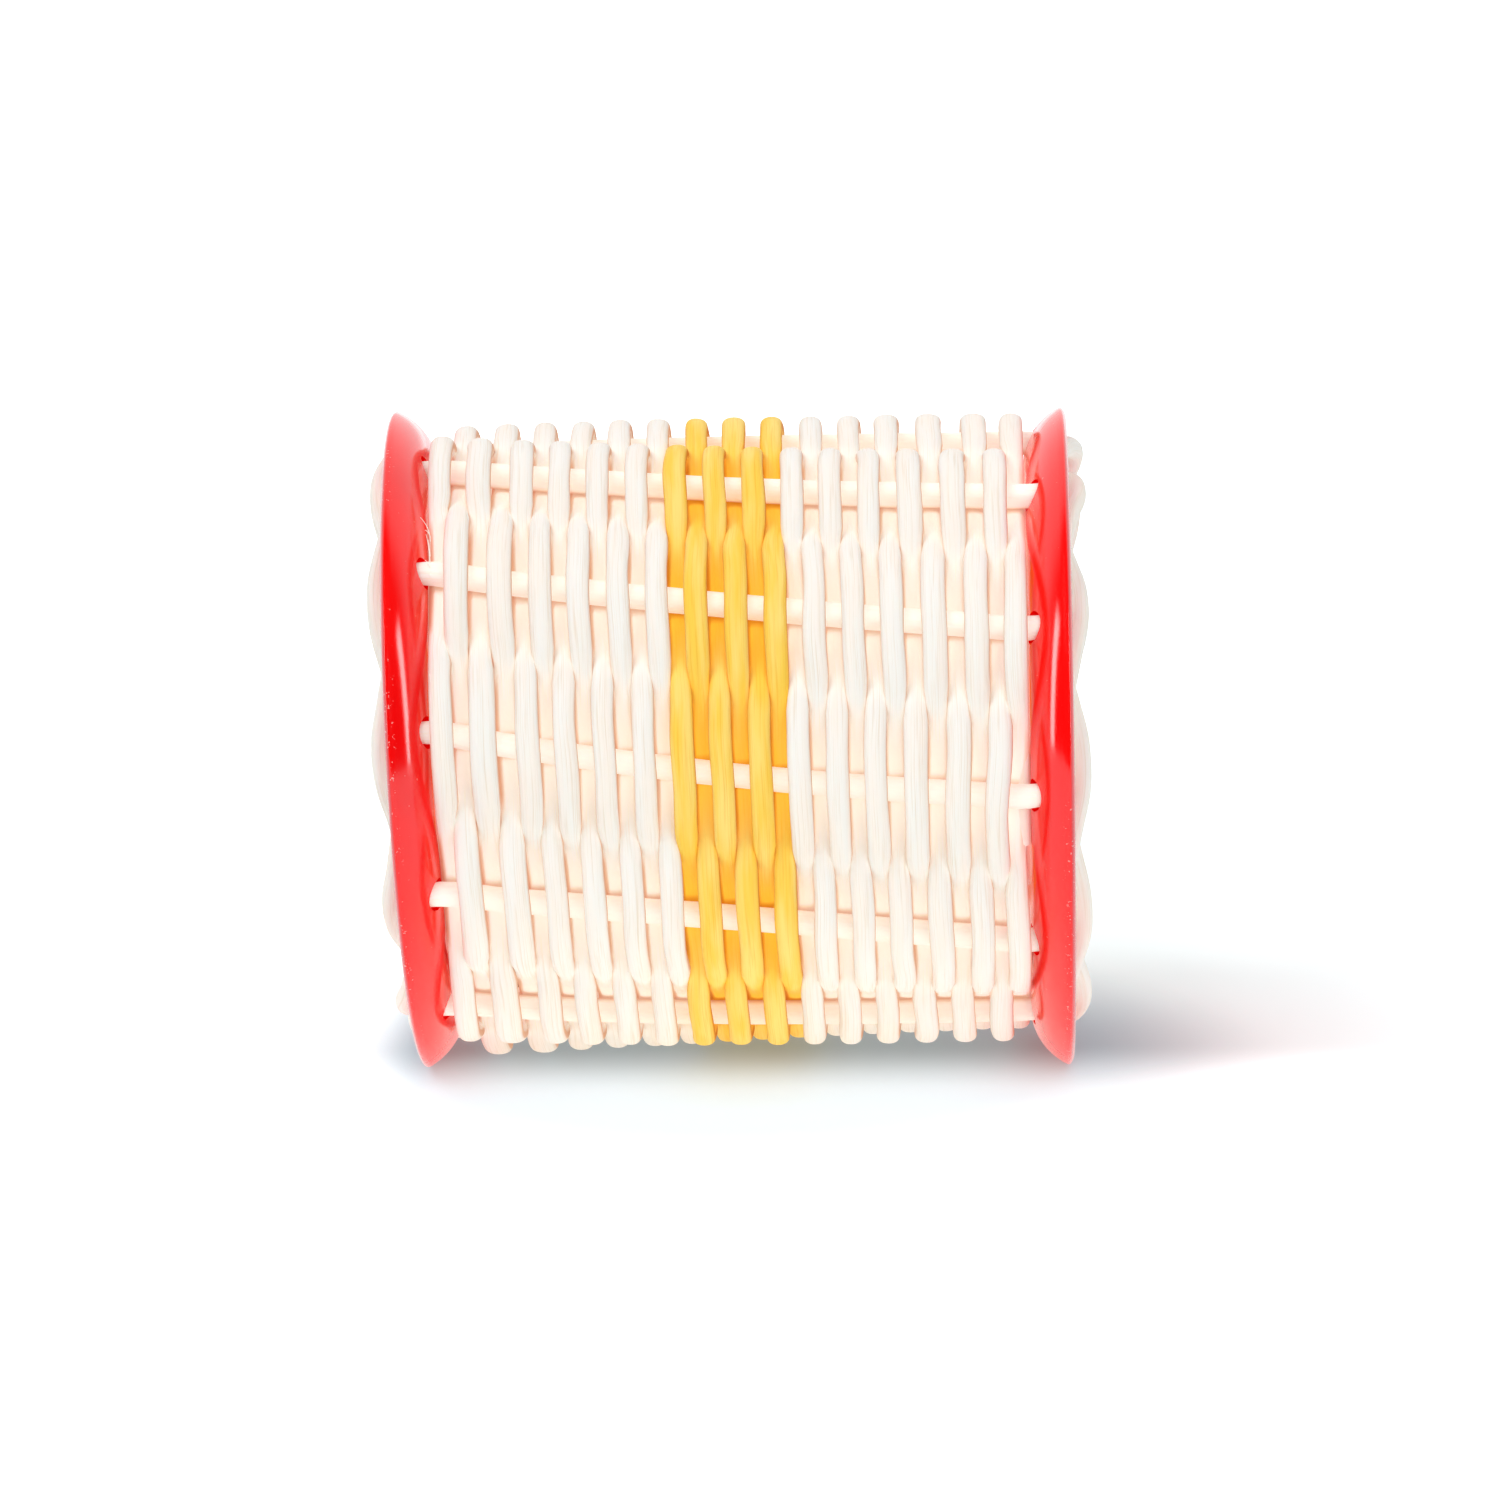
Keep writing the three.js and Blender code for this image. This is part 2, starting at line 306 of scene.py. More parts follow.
def rattanFinish(name, tones):
    finish = Finish(name)
    grain = finish.attribute("grain", "Vector")
    paintedRecessLight = finish.attribute("paintedRecessLight")
    seamAndPaintedShade = finish.attribute("seamAndPaintedShade")

    def pattern(kind):
        settings = rattan[kind]
        spread = finish.stretch(grain, settings["grain"])
        return finish.noise(spread, 1.0, settings["detail"], settings["roughness"])

    blotch, streak, hairline = pattern("blotch"), pattern("streak"), pattern("hairline")
    base = finish.blend(blotch.ramp(*rattan["blotch"]["span"]), tones["pale"], tones["warm"])
    for lines, kind in ((streak, "streak"), (hairline, "hairline")):
        share = lines.ramp(*rattan[kind]["span"]) * rattan["fibreShare"]
        base = finish.blend(share, base, tones["fibre"])
    # Painted light and shade: the deeper a place lies, the more of the recess tone it takes
    paintedRecessShare = paintedRecessLight * (rattan["recessShare"] + blotch * rattan["recessBlotch"])
    base = finish.blend(paintedRecessShare, base, tones["paintedRecessLight"])
    # Painted shade: the brown seam tone darkens the crevices between strands and beside the stakes
    base = finish.blend(seamAndPaintedShade * rattan["creviceShadeShare"], base, tones["seamAndPaintedShade"])
    finish.set(Base_Color=base, Roughness=rattan["roughness"] + streak * rattan["streakRoughness"])
    # Painted light: the rattan glows in its own tone, fully in the recesses, a little on the loops,
    # and less where crevice shade is painted
    lit = (rattan["loopLift"] + paintedRecessLight * (1 - rattan["loopLift"])) * (1 - seamAndPaintedShade * rattan["seamShade"])
    finish.set(Emission_Color=finish.blend(lit, (0, 0, 0, 1), base), Emission_Strength=tones["lift"])
    height = streak * rattan["streakBump"] + hairline * (1 - rattan["streakBump"])
    finish.set(Normal=finish.bump(height, rattan["bumpHeight"], rattan["bumpStrength"]))
    finish.set(Specular_IOR_Level=rattan["gloss"], Subsurface_Weight=rattan["through"])
    finish.set(Subsurface_Scale=rattan["throughDepth"], Subsurface_Radius=rattan["throughTones"])
    return finish.material


# Red plastic: edge is 1 at a cap's lip and 0 where the wear ends; near the lip it also places a
# painted reflection line
redPlastic = {
    "red": colour(255, 4, 3),
    "deep": colour(240, 0, 2),
    "glow": 0.07,  # light that the plastic lets through
    "cloudScale": 60,  # slow changes of tone and gloss
    "cloudSpan": (0.3, 0.7),
    "cloudDull": 0.06,
    "cloudHeight": 0.02 * mm,
    "cloudBump": 0.2,
    "scratch": colour(250, 150, 140),
    "scratchGrain": (900, 140, 140),
    "scratchSpan": (0.72, 0.8),
    "scratchPlaces": (0.5, 0.65),  # in the clouds
    "scratchShare": 0.35,
    "scratchDull": 0.3,
    "speckScale": 1500,
    "speckSpan": (0.76, 0.82),
    "speckShare": 0.5,
    # painted reflection: a duller line along the lip, where its rounded edge mirrors the room
    "lip": colour(190, 62, 70),
    "lipSpan": (0.7, 0.86),
    "lipShare": 0.6,
    "chip": colour(250, 205, 200),
    "chipScale": 2400,
    "chipSpan": (0.66, 0.7),
    "chipEdge": (0.15, 0.6),
    "chipPlaces": (0.42, 0.55),  # in the clouds
    "chipShare": 0.6,
    "roughness": 0.12,
    "gloss": 0.5,
    "coat": 0.3,
    "coatRoughness": 0.05,
}


def redFinish():
    finish = Finish("redPlastic")
    here = finish.coordinates("Object")
    edge = finish.attribute("edge")
    cloud = finish.noise(here, redPlastic["cloudScale"], detail=3.0)
    drawn = finish.stretch(here, redPlastic["scratchGrain"])
    scratch = finish.noise(drawn, 1.0, detail=3.0, roughness=0.65)
    marks = scratch.ramp(*redPlastic["scratchSpan"]) * cloud.ramp(*redPlastic["scratchPlaces"])
    specks = finish.noise(here, redPlastic["speckScale"], detail=1.0).ramp(*redPlastic["speckSpan"])
    chips = finish.noise(here, redPlastic["chipScale"]).ramp(*redPlastic["chipSpan"])
    chips = chips * edge.ramp(*redPlastic["chipEdge"]) * cloud.ramp(*redPlastic["chipPlaces"])
    base = finish.blend(cloud.ramp(*redPlastic["cloudSpan"]), redPlastic["red"], redPlastic["deep"])
    pale = marks * redPlastic["scratchShare"] + specks * redPlastic["speckShare"]
    base = finish.blend(pale, base, redPlastic["scratch"])
    # Painted reflection line along the lip
    paintedLipLine = edge.ramp(*redPlastic["lipSpan"]) * redPlastic["lipShare"]
    base = finish.blend(paintedLipLine, base, redPlastic["lip"])
    base = finish.blend(chips * redPlastic["chipShare"], base, redPlastic["chip"])
    dull = marks * redPlastic["scratchDull"] + cloud * redPlastic["cloudDull"]
    finish.set(Base_Color=base, Roughness=redPlastic["roughness"] + dull)
    finish.set(Normal=finish.bump(cloud, redPlastic["cloudHeight"], redPlastic["cloudBump"]))
    finish.set(Emission_Color=redPlastic["red"], Emission_Strength=redPlastic["glow"])
    finish.set(Specular_IOR_Level=redPlastic["gloss"], Coat_Roughness=redPlastic["coatRoughness"])
    finish.set(Coat_Weight=redPlastic["coat"] - marks * redPlastic["coat"])
    return finish.material


# Seed skin: dark mottles on brown, with pale veins along it
driedSeed = {
    "brown": colour(122, 74, 40),
    "dark": colour(70, 38, 18),
    "pale": colour(176, 128, 84),
    "mottleScale": 500,
    "mottleSpan": (0.35, 0.65),
    "veinGrain": (250, 1400, 1400),
    "veinSpan": (0.6, 0.75),
    "veinShare": 0.6,
    "veinHeight": 0.1 * mm,
    "veinBump": 0.5,
    "roughness": 0.35,
    "mottleDull": 0.25,
}


def seedFinish():
    finish = Finish("driedSeed")
    here = finish.coordinates("Object")
    mottle = finish.noise(here, driedSeed["mottleScale"], detail=3.0, roughness=0.6)
    vein = finish.noise(finish.stretch(here, driedSeed["veinGrain"]), 1.0)
    base = finish.blend(mottle.ramp(*driedSeed["mottleSpan"]), driedSeed["brown"], driedSeed["dark"])
    veins = vein.ramp(*driedSeed["veinSpan"]) * driedSeed["veinShare"]
    base = finish.blend(veins, base, driedSeed["pale"])
    finish.set(Base_Color=base, Roughness=driedSeed["roughness"] + mottle * driedSeed["mottleDull"])
    finish.set(Normal=finish.bump(vein, driedSeed["veinHeight"], driedSeed["veinBump"]))
    return finish.material


finishes = {
    "natural_rattan": rattanFinish("naturalRattan", rattan["natural"]),
    "yellow_rattan": rattanFinish("yellowRattan", rattan["yellow"]),
    "red_plastic": redFinish(),
    "dried_seed": seedFinish(),
}
print("finishes made:", len(finishes))


def meshObject(name, shape):
    mesh = bpy.data.meshes.new(name)
    shape.to_mesh(mesh)
    shape.free()
    made = bpy.data.objects.new(name, mesh)
    bpy.context.scene.collection.objects.link(made)
    return made


def addPiece(name, shape, slot, body, node):
    piece = meshObject(name, shape)
    piece.data.materials.append(finishes[slot])
    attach(piece, body)
    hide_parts(node)
    return piece


# Rods: a ring of points at each station along a strand, and faces from ring to ring
rod = {"sides": 28, "endRound": 0.25 * mm, "endShare": 0.25}
# Where the grain starts on a rod, in millimetres: far apart, so that the patterns differ
grainStart = {"strandStep": 3000, "tail": 16000, "hair": 18000, "stake": 20000, "stakeStep": 700}


def roundEnds(stations):
    first, last = stations[0], stations[-1]
    step = min(rod["endRound"], first["width"] * rod["endShare"])
    for end, inner in ((first, stations[1]), (last, stations[-2])):
        away = (end["centre"] - inner["centre"]).normalized()
        tip = dict(end)
        tip["centre"] = end["centre"] + away * step
        tip["width"] = end["width"] - 2 * step
        tip["thickness"] = end["thickness"] - 2 * step
        stations.insert(0 if end is first else len(stations), tip)
    return stations


def ringMatrix(stations, index):
    ahead = stations[min(index + 1, len(stations) - 1)]["centre"]
    behind = stations[max(index - 1, 0)]["centre"]
    station = stations[index]
    along = (ahead - behind).normalized()
    out = station["outward"]
    out = (out - along * out.dot(along)).normalized()
    across = out.cross(along)
    roll = Matrix.Rotation(station.get("roll", 0.0), 3, along)
    across = roll @ across * station["width"] / 2
    out = roll @ out * station["thickness"] / 2
    matrix = Matrix((across, out, along)).transposed().to_4x4()
    matrix.translation = station["centre"]
    return matrix


def rounded(value, squareness):
    return math.copysign(abs(value) ** (2 / squareness), value)


def sweepRod(stations, startMark, squareness):
    stations = roundEnds(stations)
    shape = bmesh.new()
    grain = shape.verts.layers.float_vector.new("grain")
    paintedRecessLight = shape.verts.layers.float.new("paintedRecessLight")
    seamAndPaintedShade = shape.verts.layers.float.new("seamAndPaintedShade")
    turns = [2 * math.pi * side / rod["sides"] for side in range(rod["sides"])]
    section = [
        (rounded(math.cos(turn), squareness), rounded(math.sin(turn), squareness))
        for turn in turns
    ]
    mark = startMark
    rings = []
    for index, station in enumerate(stations):
        if index:
            mark += (station["centre"] - stations[index - 1]["centre"]).length / mm
        matrix = ringMatrix(stations, index)
        ring = []
        for x, y in section:
            vert = shape.verts.new(matrix @ Vector((x, y, 0)))
            vert[grain] = (mark, x, y)
            vert[paintedRecessLight] = station["paintedRecessLight"](y)
            vert[seamAndPaintedShade] = station["seamAndPaintedShade"](x, y)
            ring.append(vert)
        rings.append(ring)
    for before, after in zip(rings, rings[1:]):
        for corners in zip(before, before[1:] + before[:1], after[1:] + after[:1], after):
            shape.faces.new(corners).smooth = True
    shape.faces.new(rings[0])
    shape.faces.new(rings[-1])
    bmesh.ops.recalc_face_normals(shape, faces=shape.faces)
    return shape


# Weave: strands wind down the front and up the back, outside one stake and inside the next
weave = {
    "rows": 30,
    "lastShort": 2.3,  # stake spacings missing from the last row, which ends underneath
    "startStake": 9,
    "frameDiameter": 2.2 * mm,  # of the CAD strands, which sets where the first and last rows lie
    "squareness": 2.3,  # of a strand's section: 2 is round
    "overWidth": 3.1 * mm,  # where a strand lies over a stake
    "overThickness": 2.35 * mm,
    "crossThickness": 2.6 * mm,
    "touch": 0.03 * mm,  # left between a strand and a cap or the next strand's end
    "squeeze": 0.16 * mm,  # how far neighbours press into each other where they cross
    "flatStart": 0.68,  # share of a row that lies along the left cap before it steps over
    "stepLead": 0.02,  # share of a row by which the last row's step comes before its end
    "stepSpan": 0.09,  # share of a row that the step takes
    "leftSettle": 3.5,  # rows in which the steps at either end even out
    "rightSettle": 6,
    "stepsPerStake": 24,
    "drift": 0.28 * mm,  # how far rows wander together, and the share that each adds of its own
    "ownDrift": 0.3,
    "plump": 0.07,  # share by which the width varies
    "lift": 0.4 * mm,  # how far some loops stand off
    "roll": math.radians(7),
    "noise": {  # how fast each changes along the ganza, its size in millimetres and its number
        "drift": (1, 9, 1),
        "ownDrift": (4, 7, 2),
        "plump": (5, 6, 3),
        "lift": (3, 8, 4),
        "roll": (3, 10, 5),
    },
    "noiseGap": 17.3,  # from one number's pattern to the next
    "seedRoom": 0.35 * mm,  # strands drawn in further are pressed flat inside, where the seeds pass
    "recessSpan": (0.22, 0.8),  # of the way from the outermost loops to the innermost
    "shadedSeam": 1.0,  # painted shade in the crevices right of the loops, left of them and beside a stake
    "litSeam": 0.45,
    "besideStakeShade": 0.6,
    "underSpan": (0.1, 0.55),  # shares of the way in at which crevices start and are full
    "besideSpan": (0.957, 0.985),
    "creviceSpan": (-0.1, 0.08),  # either side of a neighbour's edge
    "flankSpan": (0.88, 1.0),
    "joinStake": 3,  # stake on the front, inside which the last row was pieced with a new strand
    "joinPush": 0.7 * mm,  # how far the old strand's tail pushes the new one from the cap
    "joinSpread": 0.72,  # share of the push that each row passes on to the next
    "joinRise": (-0.3, 0.15),  # stake spacings past the stake over which the push grows and fades
    "joinFade": (0.2, 1.0),
    "lengths": {
        "left_weaver_1": (0, 6, "natural_rattan"),
        "left_weaver_2": (6, 12, "natural_rattan"),
        "yellow_weaver": (12, 18, "yellow_rattan"),
        "right_weaver_1": (18, 24, "natural_rattan"),
        "right_weaver_2": (24, 30, "natural_rattan"),
    },
}
weaveTurns = weave["rows"] - weave["lastShort"] / stakeCount
weaveStart = ganza["clearance"] + weave["frameDiameter"] / 2
rowPitch = (bodyLength - 2 * weaveStart) / weaveTurns
bodyStakeRadius = ganza["stakePlump"] / 2
joinTurn = weave["rows"] - 1 + (weave["joinStake"] - weave["startStake"]) % stakeCount / stakeCount
weaveOutside = stakeCircle + bodyStakeRadius + weave["overThickness"]
weaveInside = stakeCircle - bodyStakeRadius - weave["overThickness"]


def weaveNoise(kind, axial, angle):
    pace, size, number = weave["noise"][kind]
    wide = axial * pace / (size * mm)
    around = Vector((math.cos(angle), math.sin(angle))) * stakeCircle / (size * mm)
    return noise.noise(Vector((wide + weave["noiseGap"] * number, around.x, around.y)))


def rowLane(turn):
    leftRise = turn % 1
    leftShare = 1 - smoothStep(1, 1 + weave["leftSettle"], turn)
    leftShift = smoothStep(weave["flatStart"], 1, leftRise) - leftRise
    rightRise = (turn - weaveTurns + weave["stepLead"]) % 1
    rightShare = smoothStep(weaveTurns - 1 - weave["rightSettle"], weaveTurns - 1, turn)
    rightShift = smoothStep(0, weave["stepSpan"], rightRise) - rightRise + weave["stepLead"]
    return weaveStart + rowPitch * (turn + leftShift * leftShare + rightShift * rightShare)


def joinPush(turn):
    rowsBack = round(joinTurn - turn)
    past = (turn + rowsBack - joinTurn) * stakeCount
    share = smoothStep(*weave["joinRise"], past) * (1 - smoothStep(*weave["joinFade"], past))
    return weave["joinPush"] * weave["joinSpread"] ** rowsBack * share


def weaverStation(turn):
    stake = weave["startStake"] + stakeCount * turn
    axial = rowLane(turn)
    angle = stakeAngle(axial, stake)
    swing = math.cos(math.pi * stake)
    over = abs(swing)
    wander = weaveNoise("drift", axial, angle) * weave["drift"]
    ownWander = weaveNoise("ownDrift", axial, angle) * weave["drift"] * weave["ownDrift"]
    plump = 1 + weave["plump"] * weaveNoise("plump", axial, angle)
    thickness = lerp(weave["crossThickness"], weave["overThickness"], over)
    drawn = flatAt(axial, angle) - riseAt(axial) * math.sin(angle)
    if swing < 0:
        thickness -= max(0, drawn - weave["seedRoom"]) * over
    depth = bodyStakeRadius + thickness / 2
    spacing = max(rowPitch, (rowLane(turn + 1) - rowLane(turn - 1)) / 2)
    room = math.hypot(spacing + weave["squeeze"], 2 * depth * swing)
    widest = weave["overWidth"] * spacing / rowPitch  # loops spread where rows lie further apart
    width = min(room, widest * plump)
    if swing > 0:
        depth += weave["lift"] * (0.5 + 0.5 * weaveNoise("lift", axial, angle)) * swing
    inset = width / 2 + weave["touch"]
    lane = clamp(axial + wander + ownWander, inset, bodyLength - inset) - joinPush(turn)
    radius = stakeCircle + depth * swing
    centre = place(lane, angle, radius)

    def recessAt(y):
        reach = radius + y * thickness / 2
        share = (weaveOutside - reach) / (weaveOutside - weaveInside)
        return smoothStep(*weave["recessSpan"], share)

    edge = clamp((2 * spacing - min(room, widest)) / width)
    under = smoothStep(*weave["underSpan"], -swing)
    beside = weave["besideStakeShade"] * smoothStep(*weave["besideSpan"], -swing)
    creviceStart, creviceEnd = [edge + reach for reach in weave["creviceSpan"]]

    # Painted shade in the crevices beside the neighbouring loops and a stake, heavier on the loops'
    # shaded side
    def creviceShadeAt(x, y):
        shaded = weave["shadedSeam"] if x * swing > 0 else weave["litSeam"]
        crevice = smoothStep(creviceStart, creviceEnd, abs(x)) * under
        flank = smoothStep(*weave["flankSpan"], abs(x))
        return max(shaded * max(crevice, flank), beside)

    return {
        "centre": centre,
        "outward": outwardAt(centre),
        "width": width,
        "thickness": thickness,
        "roll": weave["roll"] * weaveNoise("roll", axial, angle),
        "paintedRecessLight": recessAt,
        "seamAndPaintedShade": creviceShadeAt,
    }


# The tail of the old strand, inside a stake at the right cap
tail = {
    "width": 2.3 * mm,
    "thickness": 2.1 * mm,
    "tuck": 0.7 * mm,
    "behind": 0.24,  # stake spacings from its stake to either end
    "ahead": 0.33,
    "steps": 10,
    # painted light and painted shade: a set share of the recess glow and tone, and shade along its
    # edges
    "paintedRecessLight": 0.4,
    "seamAndPaintedShade": 0.5,
    "seamSpan": (0.9, 1.0),
}


def tailStation(stake):
    lane = bodyLength - tail["width"] / 2 - weave["touch"]
    angle = stakeAngle(lane, stake)
    under = math.cos(math.pi * (stake - weave["joinStake"]))
    depth = bodyStakeRadius + tail["thickness"] / 2
    centre = place(lane, angle, stakeCircle - depth * under - tail["tuck"] * (1 - under))
    return {
        "centre": centre,
        "outward": outwardAt(centre),
        "width": tail["width"],
        "thickness": tail["thickness"],
        "paintedRecessLight": lambda y: tail["paintedRecessLight"],
        "seamAndPaintedShade": lambda x, y: smoothStep(*tail["seamSpan"], abs(x)) * tail["seamAndPaintedShade"],
    }


def tailShape():
    first = weave["joinStake"] - tail["behind"]
    last = weave["joinStake"] + tail["ahead"]
    shares = [step / tail["steps"] for step in range(tail["steps"] + 1)]
    stations = [tailStation(lerp(first, last, share)) for share in shares]
    return sweepRod(stations, grainStart["tail"], weave["squareness"])


# Loose fibres beside the left cap
hairs = {
    "count": 12,
    "seed": 5,
    "stakes": (2, 3),  # beside which they grow
    "steps": 8,
    "length": 4.5 * mm,
    "thickness": 0.14 * mm,
    "taper": 0.6,  # share of the thickness that the tip has lost
    "turn": (-0.03, 0.15),  # radians from the stake to the root
    "sweep": (-0.5, 1),  # share of the length that goes round the ganza
    "rootReach": 0.8 * mm,  # out from the stakes' circle
    "tipReach": (2.0, 3.2),  # millimetres, as the bend is
    "lane": 0.5 * mm,  # from the cap's face
    "bend": (-1.3, 0.2),
    # painted light: a set share of the recess glow and tone
    "paintedRecessLight": 0.5,
}


def hairShape(draw):
    root = stakeAngle(0, draw.choice(hairs["stakes"])) + draw.uniform(*hairs["turn"])
    sweep = draw.uniform(*hairs["sweep"]) * hairs["length"] / stakeCircle
    tipReach = draw.uniform(*hairs["tipReach"]) * mm
    bend = draw.uniform(*hairs["bend"]) * mm
    stations = []
    for step in range(hairs["steps"] + 1):
        share = step / hairs["steps"]
        lane = hairs["lane"] + bend * share * share
        reach = lerp(hairs["rootReach"], tipReach, share ** 0.5)
        size = hairs["thickness"] * (1 - hairs["taper"] * share)
        stations.append({
            "centre": place(lane, root + sweep * share, stakeCircle + reach),
            "outward": Vector((1, 0, 0)),
            "width": size,
            "thickness": size,
            "paintedRecessLight": lambda y: hairs["paintedRecessLight"],
            "seamAndPaintedShade": lambda x, y: 0.0,
        })
    return sweepRod(stations, grainStart["hair"], weave["squareness"])


def joinShape(shape, extra):
    spare = bpy.data.meshes.new("spare")
    extra.to_mesh(spare)
    extra.free()
    shape.from_mesh(spare)
    bpy.data.meshes.remove(spare)


hairDraw = random.Random(hairs["seed"])
endGap = (weave["touch"] + rod["endRound"]) / (2 * math.pi * stakeCircle)  # in turns
for mark, (node, (firstTurn, lastTurn, slot)) in enumerate(weave["lengths"].items()):
    begin = firstTurn + endGap
    end = min(lastTurn, weaveTurns) - endGap
    steps = round((end - begin) * stakeCount * weave["stepsPerStake"])
    stations = [weaverStation(lerp(begin, end, step / steps)) for step in range(steps + 1)]
    shape = sweepRod(stations, grainStart["strandStep"] * mark, weave["squareness"])
    if firstTurn == 0:
        for hair in range(hairs["count"]):
            joinShape(shape, hairShape(hairDraw))
    if lastTurn > weaveTurns:
        joinShape(shape, tailShape())
    addPiece(node + "_strand", shape, slot, "shell", node)
print("weave wound:", weave["rows"], "rows")

# Stakes: rods through both caps, bent over outside each and tucked in round the dish
stakes = {
    "squareness": 2.3,
    "borderDiameter": 2.9 * mm,
    "stepsPerSpan": 7,
    "bodySpans": 8,
    # painted light: how much of the recess glow and tone a stake takes, between the caps and round
    # the dish
    "bodyRecessLight": 0.7,
    "borderRecessLight": 0.06,
    "bodySpan": (-3 * mm, 1 * mm),  # past a cap's face, over which a stake becomes plump
    "uneven": 0.04,  # share by which the thickness varies
    "unevenScale": 160,
    "unevenGap": 5.1,  # from one stake's pattern to the next
    # painted shade along a stake's inner side, between the caps
    "seamAndPaintedShade": 0.8,
    "seamSpan": (0.3, 0.9),  # of the way from the middle to the inside
}
borderRoute = [  # turn in stake spacings, then how far in and out in stake diameters
    (0.5, 0.0, 0.1),
    (0.8, 0.05, 0.5),
    (1.05, 0.4, 0.88),
    (1.3, 0.8, 0.83),
    (1.55, 1.3, 0.45),
    (1.8, 1.55, 0.1),
    (2.0, 1.6, 0.0),
]
borderSeat = dishRadius - stakeRadius - ganza["clearance"]
borderFloor = ganza["shoulderRadius"] - math.sqrt(borderSeat**2 - (stakeCircle - capFlatRadius) ** 2)


def borderPoints(stake, outwards, axial):
    start = stakeAngle(axial, stake)
    diameter = ganza["stakeDiameter"]
    half = diameter * math.sqrt(0.5)

    def at(turn, inwards, depth):
        return place(axial + outwards * depth, start + outwards * turn, stakeCircle - inwards)

    bend = [
        at(0, 0, borderFloor - diameter),
        at((diameter - half) / stakeCircle, 0, borderFloor - diameter + half),
        at(diameter / stakeCircle, 0, borderFloor),
    ]
    route = [
        at(turn * stakeSpacing, inwards * diameter, borderFloor + out * diameter)
        for turn, inwards, out in borderRoute
    ]
    return bend + route


# A smooth line through points that lie unevenly
def smoothPath(points, steps):
    ends = [points[0] * 2 - points[1], *points, points[-1] * 2 - points[-2]]
    path = [points[0]]
    for before, start, end, after in zip(ends, ends[1:], ends[2:], ends[3:]):
        corners = (before, start, end, after)
        back, along, on = [(b - a).length ** 0.5 for a, b in zip(corners, corners[1:])]
        leave = (start - before) / back - (end - before) / (back + along) + (end - start) / along
        reach = (end - start) / along - (after - start) / (along + on) + (after - end) / on
        handles = (start + leave * along / 3, end - reach * along / 3)
        path += geometry.interpolate_bezier(start, *handles, end, steps + 1)[1:]
    return path


def stakeStations(stake):
    spans = stakes["bodySpans"]
    body = []
    for span in range(1, spans):
        axial = bodyLength * span / spans
        body.append(place(axial, stakeAngle(axial, stake), stakeCircle))
    points = borderPoints(stake, -1, 0)[::-1] + body + borderPoints(stake, 1, bodyLength)
    stations = []
    for point in smoothPath(points, stakes["stepsPerSpan"]):
        axial = point.x - axisMiddle.x + bodyLength / 2
        inBody = smoothStep(*stakes["bodySpan"], min(axial, bodyLength - axial))
        # Painted light, and painted shade on the inner side, more between the caps than round the
        # dish
        stakeRecessLight = lerp(stakes["borderRecessLight"], stakes["bodyRecessLight"], inBody)
        size = lerp(stakes["borderDiameter"], ganza["stakePlump"], inBody)
        spot = point * stakes["unevenScale"] + Vector((0, 0, stakes["unevenGap"] * stake))
        size *= 1 + stakes["uneven"] * noise.noise(spot)
        brown = stakes["seamAndPaintedShade"] * inBody
        stations.append({
            "centre": point,
            "outward": outwardAt(point),
            "width": size,
            "thickness": size,
            "paintedRecessLight": lambda y, stakeRecessLight=stakeRecessLight: stakeRecessLight,
            "seamAndPaintedShade": lambda x, y, brown=brown: brown * smoothStep(*stakes["seamSpan"], -y),
        })
    return stations


for stake in range(stakeCount):
    node = f"stake_{stake + 1:02d}"
    start = grainStart["stake"] + grainStart["stakeStep"] * stake
    shape = sweepRod(stakeStations(stake), start, stakes["squareness"])
    addPiece(node + "_rod", shape, "natural_rattan", "shell", node)
print("stakes bent:", stakeCount)

# Caps: a dish spun about the axis, with a round lip and a hole for each stake
cap = {
    "spinSteps": 180,
    "shoulderSteps": 14,
    "flatRings": 4,
    "lipRise": 0.415 * mm,
    "lipSegments": 10,
    "lipOutward": 1.6,  # above 1, so that the lip's crest lies nearer the outside
    "lipBroad": 0.8,  # below 1, so that the crest is broad
    "merge": 0.001 * mm,
    "holeRadius": 2.2 * mm,
    "holeSides": 28,
    "drillDepth": 4 * ganza["capDepth"],
    "wornEdge": 2.2 * mm,  # how far from the lip the wear reaches; the painted reflection line lies in its outer part
    "sharpAngle": math.radians(38),
}


def shoulderArc(radius, turn):
    return Vector((
        capFlatRadius + radius * math.sin(turn),
        0,
        ganza["shoulderRadius"] - radius * math.cos(turn),
    ))


def lipPoint(start, end, share):
    turn = math.pi * share
    point = start.lerp(end, ((1 - math.cos(turn)) / 2) ** cap["lipOutward"])
    return point + Vector((0, 0, cap["lipRise"] * math.sin(turn) ** cap["lipBroad"]))


